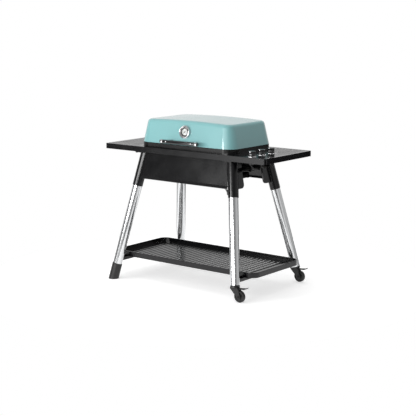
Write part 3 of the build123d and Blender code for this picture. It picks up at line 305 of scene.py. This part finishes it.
def block(build, centre, size, place=Matrix.Identity(4), bevel=0.0):
    """Adds a box with rounded edges; centre and size in mm, in the frame place."""
    made = bmesh.ops.create_cube(build, size=1.0)
    verts = made["verts"]
    scale = Matrix.Diagonal((*[v * MM for v in size], 1.0))
    bmesh.ops.transform(build, matrix=scale, verts=verts)
    if bevel:
        edges = list({e for v in verts for e in v.link_edges})
        cut = bmesh.ops.bevel(build, geom=edges, offset=bevel * MM, segments=3, profile=0.5, affect="EDGES")
        verts = list({v for f in cut["faces"] for v in f.verts} | {v for v in verts if v.is_valid})
    shift = place @ Matrix.Translation([v * MM for v in centre])
    bmesh.ops.transform(build, matrix=shift, verts=verts)


# --- Handle on the hood -----------------------------------------------------------------

HANDLE_CENTRE = (Vector(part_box("handle_bar")[0]) + Vector(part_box("handle_bar")[1])) / 2
ALONG_X = axis_frame(HANDLE_CENTRE, (1, 0, 0))

grip = bmesh.new()
lathe(grip, [(0, -155), (10.6, -155), (11.4, -154), (11.4, -150.5), (9.5, -150), (9.5, -133), (12.2, -132),
             (12.5, -130.5), (12.5, 130.5), (12.2, 132), (9.5, 133), (9.5, 150), (11.4, 150.5), (11.4, 154),
             (10.6, 155), (0, 155)], ALONG_X, 48)
new_piece("handle_grip", grip, "lid", "gloss_black", ["handle_bar"])

collars = bmesh.new()
for end in (-1, 1):
    lathe(collars, [(9.6, end * 132.6), (12.6, end * 132.6), (13.0, end * 133.4), (13.0, end * 149.4),
                    (12.6, end * 150.2), (9.6, end * 150.2)], ALONG_X, 48)
new_piece("handle_collars", collars, "lid", "trim_chrome")

studs = bmesh.new()
for end in (-1, 1):
    stud_place = axis_frame(HANDLE_CENTRE + Vector((end * 0.103, -0.0115, 0.001)), (0, -1, 0.1))
    lathe(studs, [(0, 2.6), (3.0, 2.3), (4.6, 1.3), (5.2, 0), (5.2, -1.5), (0, -1.5)], stud_place, 32)
new_piece("handle_studs", studs, "lid", "trim_chrome")


# --- Thermometer ------------------------------------------------------------------------

HOOD_FRONT_LEAN = math.radians(9.3)
GAUGE_NORMAL = Vector((0, -math.cos(HOOD_FRONT_LEAN), math.sin(HOOD_FRONT_LEAN)))
GAUGE_CENTRE = Vector((0, -0.214317, 1.021))
GAUGE_PLACE = Matrix.Translation(GAUGE_CENTRE) @ Matrix((
    (1, 0, 0, 0),
    (0, GAUGE_NORMAL.z, GAUGE_NORMAL.y, 0),
    (0, -GAUGE_NORMAL.y, GAUGE_NORMAL.z, 0),
    (0, 0, 0, 1),
))

case = bmesh.new()
lathe(case, [(26.0, 0.4), (42.6, 0.4), (43.0, 1.2), (43.0, 3.4), (41.8, 4.2), (41.6, 9.5), (41.2, 12.6),
             (40.0, 14.6), (38.0, 15.2), (36.2, 14.8), (35.0, 13.8), (30.0, 9.6), (28.6, 8.8),
             (28.0, 8.0), (26.0, 7.6)], GAUGE_PLACE, 96)
new_piece("thermometer_funnel", case, "lid", "trim_chrome", ["thermometer_case"])

inner_ring = bmesh.new()
lathe(inner_ring, [(22.2, 3.0), (28.2, 3.0), (28.2, 8.2), (27.0, 8.6), (25.6, 8.2), (23.4, 6.0), (22.2, 5.4)],
      GAUGE_PLACE, 96)
new_piece("thermometer_ring", inner_ring, "lid", "gloss_black")

stem = bmesh.new()
lathe(stem, [(0, -38), (3.6, -38), (4.8, -36), (4.8, 1.0), (0, 1.0)], GAUGE_PLACE, 24)
lathe(stem, [(4.8, -8.8), (10.6, -8.8), (11.0, -8.4), (11.0, -4.4), (10.6, -3.9), (4.8, -3.9)],
      GAUGE_PLACE, 6)
new_piece("thermometer_stem", stem, "lid", "trim_chrome", sharp=25)

dial = bmesh.new()
lathe(dial, [(0, 4.2), (22.1, 4.2), (22.1, 5.0), (0, 5.0)], GAUGE_PLACE, 96)
new_piece("thermometer_face", dial, "lid", "dial_white", ["thermometer_dial"])

SCALE_START = math.radians(225)
SCALE_SWEEP = math.radians(270)
SCALE_STEPS = 30
STEPS_PER_MAJOR = 5
ticks = bmesh.new()
for i in range(SCALE_STEPS + 1):
    major = i % STEPS_PER_MAJOR == 0
    angle = SCALE_START - SCALE_SWEEP * i / SCALE_STEPS
    length = 4.4 if major else 2.4
    spoke = GAUGE_PLACE @ Matrix.Rotation(angle, 4, "Z")
    block(ticks, (20.4 - length / 2, 0, 5.05), (length, 0.9 if major else 0.45, 0.16), spoke)
new_piece("thermometer_scale", ticks, "lid", "needle_paint")

needle = bmesh.new()
lathe(needle, [(0, 3.2), (0.9, 3.2), (0.9, 5.4), (3.0, 5.4), (3.2, 5.9), (2.6, 6.6), (0, 6.9)],
      GAUGE_PLACE, 32)
pointer = GAUGE_PLACE @ Matrix.Rotation(SCALE_START, 4, "Z")
outline = [(-7, -1.6), (-7, 1.6), (2, 1.9), (16.5, 0.5), (17.5, 0), (16.5, -0.5), (2, -1.9)]
flat = [needle.verts.new(pointer @ Vector((x * MM, y * MM, 5.5 * MM))) for x, y in outline]
raised = [needle.verts.new(pointer @ Vector((x * MM, y * MM, 6.1 * MM))) for x, y in outline]
needle.faces.new(flat)
needle.faces.new(raised)
for i in range(len(outline)):
    j = (i + 1) % len(outline)
    needle.faces.new((flat[i], flat[j], raised[j], raised[i]))
new_piece("thermometer_pointer", needle, "gauge_needle", "needle_paint", ["thermometer_needle"])


# --- Knobs ------------------------------------------------------------------------------

TABLE_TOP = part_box("side_table_right")[1][2]
KNOB_FLUTES = 24


def flutes(angle, radius, height):
    """Finger grooves down the knob's side."""
    grip_zone = 8.0 < height < 31.0 and radius > 20
    return 1.0 - 0.022 * (0.5 + 0.5 * math.cos(KNOB_FLUTES * angle)) ** 3 if grip_zone else 1.0


for knob_name in ("front", "middle", "rear"):
    knob_low, knob_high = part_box(f"knob_{knob_name}")
    knob_x = (knob_low[0] + knob_high[0]) / 2
    knob_y = (knob_low[1] + knob_high[1]) / 2
    centre = Matrix.Translation((knob_x, knob_y, TABLE_TOP))
    knob = bmesh.new()
    lathe(knob, [(0, 5.2), (20.0, 5.2), (23.0, 5.2), (23.5, 5.8), (23.5, 7.6), (23.0, 8.4), (22.6, 9.2),
                 (22.3, 20.0), (22.1, 29.5), (22.4, 31.2), (22.2, 33.6), (21.4, 35.4), (19.8, 36.4),
                 (18.2, 36.5), (17.6, 35.9), (0, 35.6)], centre, 144, flutes)
    new_piece(f"knob_body_{knob_name}", knob, f"knob_{knob_name}", "gloss_black", [f"knob_{knob_name}"])

    inlay = bmesh.new()
    block(inlay, (0, -11.2, 35.9), (4.2, 20.5, 1.2), centre, bevel=0.4)
    block(inlay, (0, -22.0, 32.0), (4.2, 1.4, 8.4), centre, bevel=0.4)
    new_piece(f"knob_pointer_{knob_name}", inlay, f"knob_{knob_name}", "trim_chrome")

    bezel = bmesh.new()
    lathe(bezel, [(24.4, 0.1), (27.5, 0.1), (27.5, 1.6), (27.0, 3.0), (26.0, 4.0), (25.0, 4.0), (24.4, 3.2),
                  (24.4, 0.1)], centre, 72)
    new_piece(f"knob_bezel_{knob_name}", bezel, "frame", "trim_chrome",
              ["knob_bezels"] if knob_name == "front" else [])


# --- Caster wheels ----------------------------------------------------------------------

TREAD_LUGS = 30
WHEEL_RIBS = 6


def tread(angle, radius, height):
    """Shallow cross grooves in the running surface."""
    return 1.0 - 0.02 * (0.5 + 0.5 * math.cos(TREAD_LUGS * angle)) ** 4 if radius > 37 else 1.0


for end_name in ("front", "rear"):
    wheel_low, wheel_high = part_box(f"caster_wheel_{end_name}")
    hub = (Vector(wheel_low) + Vector(wheel_high)) / 2
    spin = axis_frame(hub, (0, 1, 0))
    wheel = bmesh.new()
    lathe(wheel, [(5.2, -12.8), (9.4, -12.8), (10.2, -12.2), (11.8, -7.2), (12.6, -7.0), (25.6, -7.0),
                  (26.4, -7.3), (28.8, -11.6), (29.6, -12.0), (34.2, -12.0), (35.4, -11.6), (37.4, -9.4),
                  (37.8, -8.4), (37.8, -2.0), (36.9, -1.4), (36.9, 1.4), (37.8, 2.0), (37.8, 8.4),
                  (37.4, 9.4), (35.4, 11.6), (34.2, 12.0), (29.6, 12.0), (28.8, 11.6), (26.4, 7.3),
                  (25.6, 7.0), (12.6, 7.0), (11.8, 7.2), (10.2, 12.2), (9.4, 12.8), (5.2, 12.8),
                  (5.2, -12.8)], spin, 180, tread)
    for i in range(WHEEL_RIBS):
        rib_place = spin @ Matrix.Rotation(2 * math.pi * i / WHEEL_RIBS, 4, "Z")
        for side in (-1, 1):
            block(wheel, (18.8, 0, side * 8.2), (15.6, 2.4, 2.8), rib_place, bevel=0.4)
    new_piece(f"wheel_tyre_{end_name}", wheel, f"wheel_{end_name}", "black_plastic",
              [f"caster_wheel_{end_name}"])


# --- Floor, light and camera ---------------------------------------------------------

def area_light(name, place, target, width, height, radiance):
    """Softbox of a given radiance, facing target."""
    data = bpy.data.lights.new(name, "AREA")
    data.shape = "RECTANGLE"
    data.size = width
    data.size_y = height
    data.energy = radiance * math.pi * width * height
    light = bpy.data.objects.new(name, data)
    light.location = place
    light.rotation_euler = (Vector(target) - Vector(place)).to_track_quat("-Z", "Y").to_euler()
    bpy.context.scene.collection.objects.link(light)
    return light


FLOOR_RADIUS = 1.5
FLOOR_DROP = 0.0005
FLOOR_GLOW = 0.50


def make_floor():
    """Pale disc just under the feet, with a little glow of its own to keep it white."""
    mesh = bpy.data.meshes.new("floor")
    build = bmesh.new()
    bmesh.ops.create_circle(build, cap_ends=True, radius=FLOOR_RADIUS, segments=96)
    bmesh.ops.translate(build, verts=build.verts, vec=(0, 0, -FLOOR_DROP))
    build.to_mesh(mesh)
    build.free()
    floor = bpy.data.objects.new("floor", mesh)
    bpy.context.scene.collection.objects.link(floor)
    paper = surface("floor_paper", (0.85, 0.85, 0.85), 0.9, specular=0.1, mottle=(1.5, 0.01),
                    patches=(3.0, 0.05), grain=(300.0, 0.05, 0.0002))
    shader = paper.node_tree.nodes["Principled BSDF"]
    shader.inputs["Emission Color"].default_value = (1, 1, 1, 1)
    shader.inputs["Emission Strength"].default_value = FLOOR_GLOW
    mesh.materials.append(paper)


def azimuth_ramp(nodes, links, fraction, stops):
    """Brightness round the horizon. stops are (degrees from the front, radiance)."""
    ramp = nodes.new("ShaderNodeValToRGB")
    ramp.color_ramp.interpolation = "EASE"
    elements = ramp.color_ramp.elements
    while len(elements) > 1:
        elements.remove(elements[-1])
    for i, (degrees, radiance) in enumerate(stops):
        position = 0.5 + degrees / 360
        element = elements[0] if i == 0 else elements.new(position)
        element.position = position
        element.color = (radiance, radiance, radiance, 1)
    links.new(fraction, ramp.inputs["Fac"])
    return ramp.outputs["Color"]


def make_world():
    """White backdrop for the eye, and a studio room for light and reflections."""
    world = bpy.data.worlds.new("studio")
    bpy.context.scene.world = world
    world.use_nodes = True
    nodes = world.node_tree.nodes
    links = world.node_tree.links
    nodes.clear()
    out = nodes.new("ShaderNodeOutputWorld")
    direction = nodes.new("ShaderNodeTexCoord")
    split = nodes.new("ShaderNodeSeparateXYZ")
    links.new(direction.outputs["Generated"], split.inputs[0])

    def maths(operation, first, second=None):
        node = nodes.new("ShaderNodeMath")
        node.operation = operation
        for socket, value in zip(node.inputs, (first, second)):
            if isinstance(value, (int, float)):
                socket.default_value = value
            elif value is not None:
                links.new(value, socket)
        return node.outputs[0]

    front = maths("MULTIPLY", split.outputs["Y"], -1.0)
    turn = maths("ARCTAN2", split.outputs["X"], front)
    fraction = maths("ADD", maths("DIVIDE", turn, 2 * math.pi), 0.5)
    below = azimuth_ramp(nodes, links, fraction, [
        (-180, 0.03), (-128, 0.03), (-108, 0.4), (-90, 0.7), (-62, 0.6), (-50, 0.1), (-39, 0.12),
        (-35, 3.4), (-26, 3.6), (-16, 0.9), (-4, 0.5), (10, 0.12), (38, 0.05), (54, 0.5), (80, 0.8),
        (104, 0.4), (124, 0.05), (180, 0.03),
    ])
    level = azimuth_ramp(nodes, links, fraction, [
        (-180, 0.85), (-100, 0.85), (-75, 0.35), (-54, 0.08), (-42, 0.1), (-36, 0.6), (0, 0.5),
        (60, 0.25), (95, 0.5), (120, 0.55), (160, 0.6), (180, 0.85),
    ])
    above = azimuth_ramp(nodes, links, fraction, [
        (-180, 0.65), (-90, 0.6), (-40, 0.3), (30, 0.3), (90, 0.25), (150, 0.45), (180, 0.65),
    ])

    def blend(low_colour, high_colour, start, end):
        step = nodes.new("ShaderNodeMapRange")
        step.interpolation_type = "SMOOTHSTEP"
        step.inputs["From Min"].default_value = math.sin(math.radians(start))
        step.inputs["From Max"].default_value = math.sin(math.radians(end))
        links.new(split.outputs["Z"], step.inputs["Value"])
        mix = nodes.new("ShaderNodeMix")
        mix.data_type = "RGBA"
        links.new(step.outputs["Result"], mix.inputs[0])
        links.new(low_colour, mix.inputs[6])
        links.new(high_colour, mix.inputs[7])
        return mix.outputs[2]

    room_colour = blend(blend(below, level, -4, 0), above, 16, 32)
    room = nodes.new("ShaderNodeBackground")
    links.new(room_colour, room.inputs["Color"])
    seen = nodes.new("ShaderNodeBackground")
    seen.inputs["Color"].default_value = (1, 1, 1, 1)
    path = nodes.new("ShaderNodeLightPath")
    choose = nodes.new("ShaderNodeMixShader")
    links.new(path.outputs["Is Camera Ray"], choose.inputs[0])
    links.new(room.outputs[0], choose.inputs[1])
    links.new(seen.outputs[0], choose.inputs[2])
    links.new(choose.outputs[0], out.inputs["Surface"])


make_floor()
make_world()
area_light("key_box", (-0.43, -5.0, 1.42), (-0.43, 0, 1.2), 4.8, 0.95, 11.5)
fill = area_light("fill_box", (-3.2, -3.6, 3.2), (0, 0, 0.8), 3.0, 2.4, 3.4)
fill.visible_glossy = False
top = area_light("top_box", (0, 0, 4.2), (0, 0, 0.5), 4.0, 3.2, 1.1)
top.visible_glossy = False

CAMERA_PLACE = (4.5884, -5.8249, 1.8545)
CAMERA_TILT = math.radians(79.58)
CAMERA_TURN = math.radians(38.118)
LENS = 97.48
SENSOR_WIDTH = 36.0
camera_data = bpy.data.cameras.new("camera")
camera_data.lens = LENS
camera_data.sensor_width = SENSOR_WIDTH
camera = bpy.data.objects.new("camera", camera_data)
camera.location = CAMERA_PLACE
camera.rotation_euler = (CAMERA_TILT, 0.0, CAMERA_TURN)
bpy.context.scene.collection.objects.link(camera)
bpy.context.scene.camera = camera
bpy.context.scene.view_settings.view_transform = "Standard"
